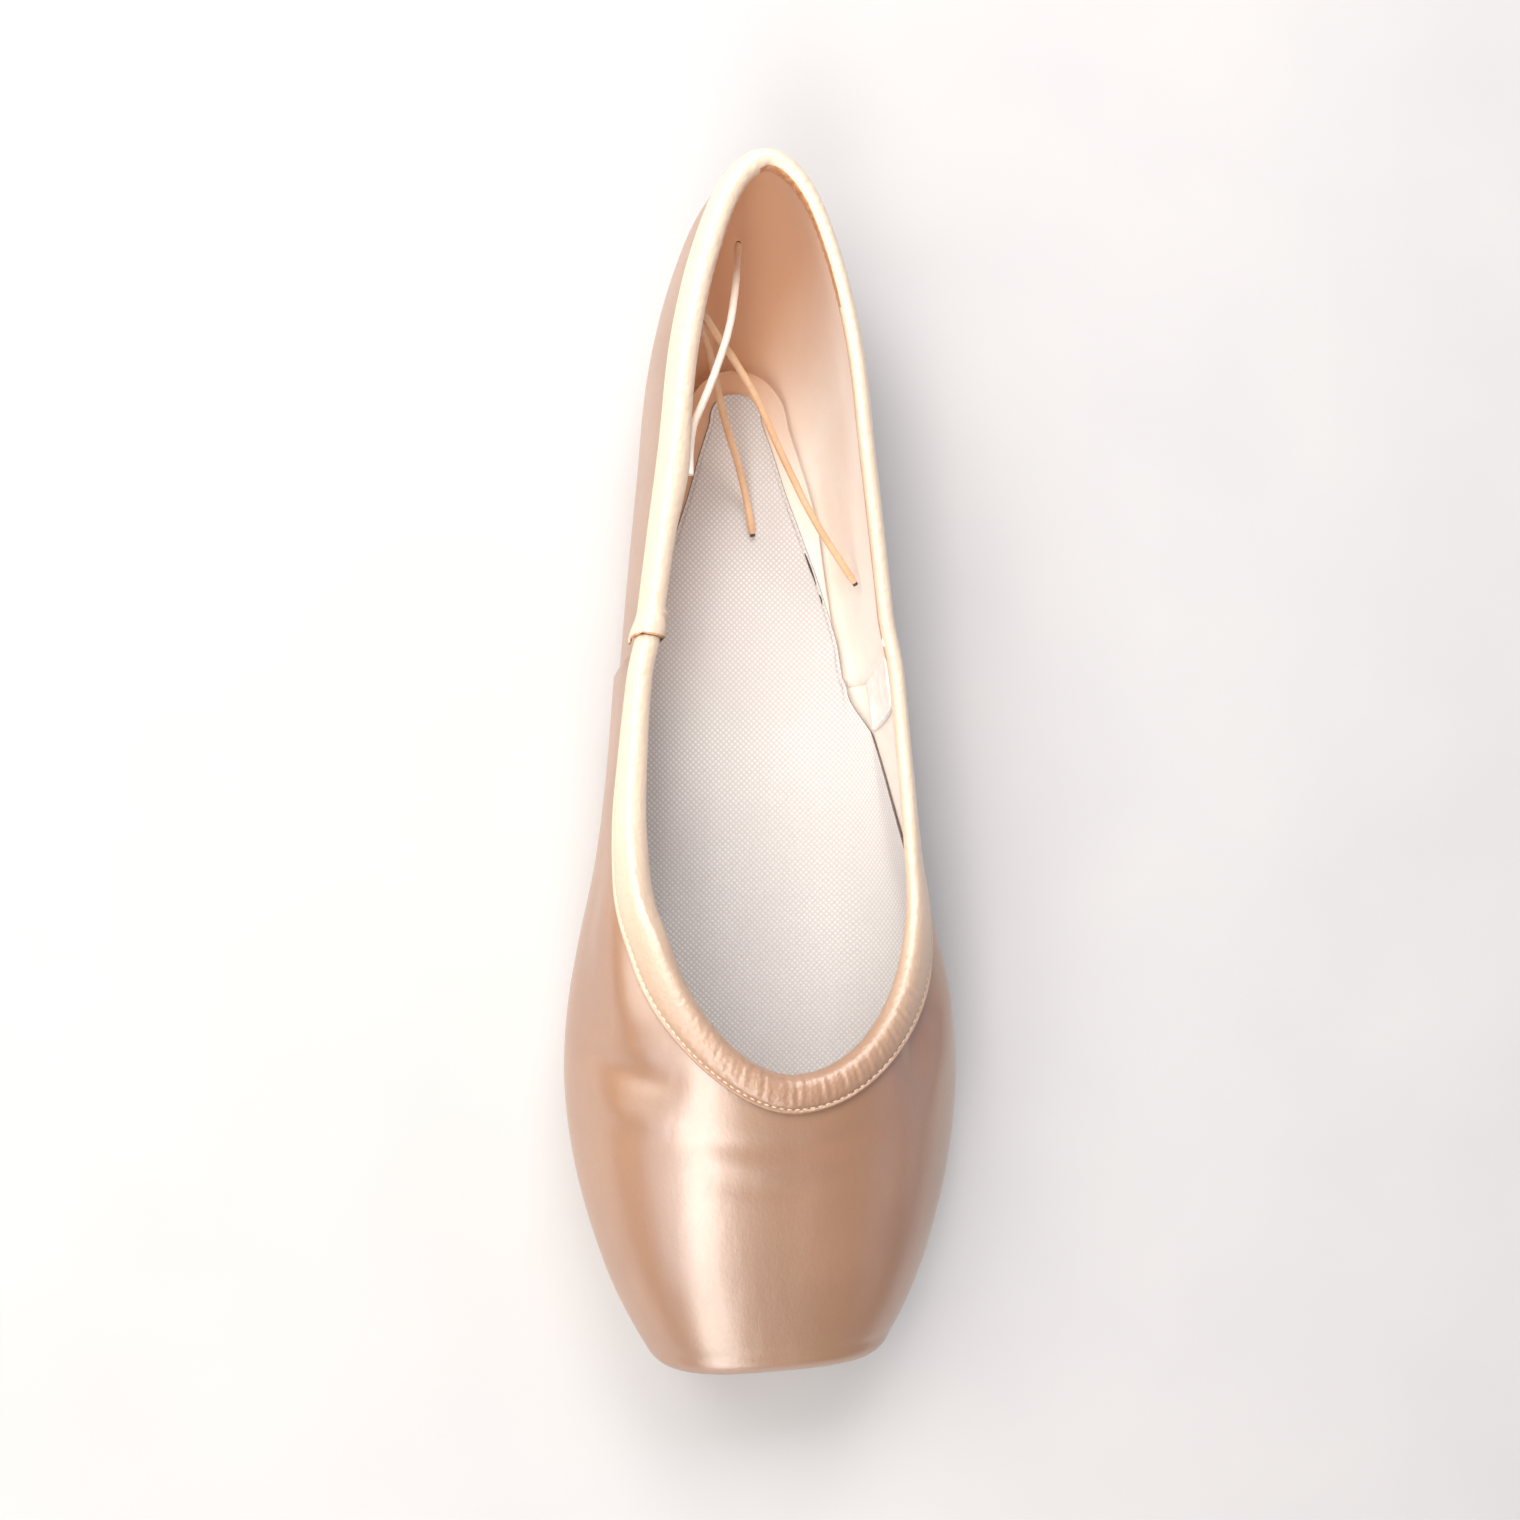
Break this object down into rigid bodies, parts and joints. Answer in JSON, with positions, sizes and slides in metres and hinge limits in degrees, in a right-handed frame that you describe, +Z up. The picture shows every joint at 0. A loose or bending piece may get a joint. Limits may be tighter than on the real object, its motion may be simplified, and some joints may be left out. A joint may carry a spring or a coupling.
{
  "type": "pointe shoe",
  "caption": "Satin ballet pointe shoe with a stiff toe box, flat platform, low open collar, gathered casing, leather outsole and loose drawstring ends inside.",
  "frame": {"origin": "centre of the bounding box in plan, on the plane that the outsole rests on", "axes": "+Z up, +Y from the toe platform towards the heel, +X to the wearer's left when the toe points away from the wearer"},
  "size_m": [0.0804, 0.238, 0.0503],
  "materials": {
    "satin": "peach-pink satin with a soft directional sheen",
    "casing_satin": "cream satin, folded and gathered",
    "sole_leather": "napped sole leather",
    "sock": "light grey woven mesh",
    "tape": "white cotton tape",
    "elastic": "thin round elastic cord"
  },
  "bodies": {
    "root": {"upper": "satin", "collar_casing": "casing_satin", "outsole": "sole_leather", "insole": "sock", "side_tape_right": "tape", "side_tape_left": "tape", "drawstring_end_rear": "elastic", "drawstring_end_middle": "elastic", "drawstring_end_side": "elastic"}
  },
  "joints": []
}
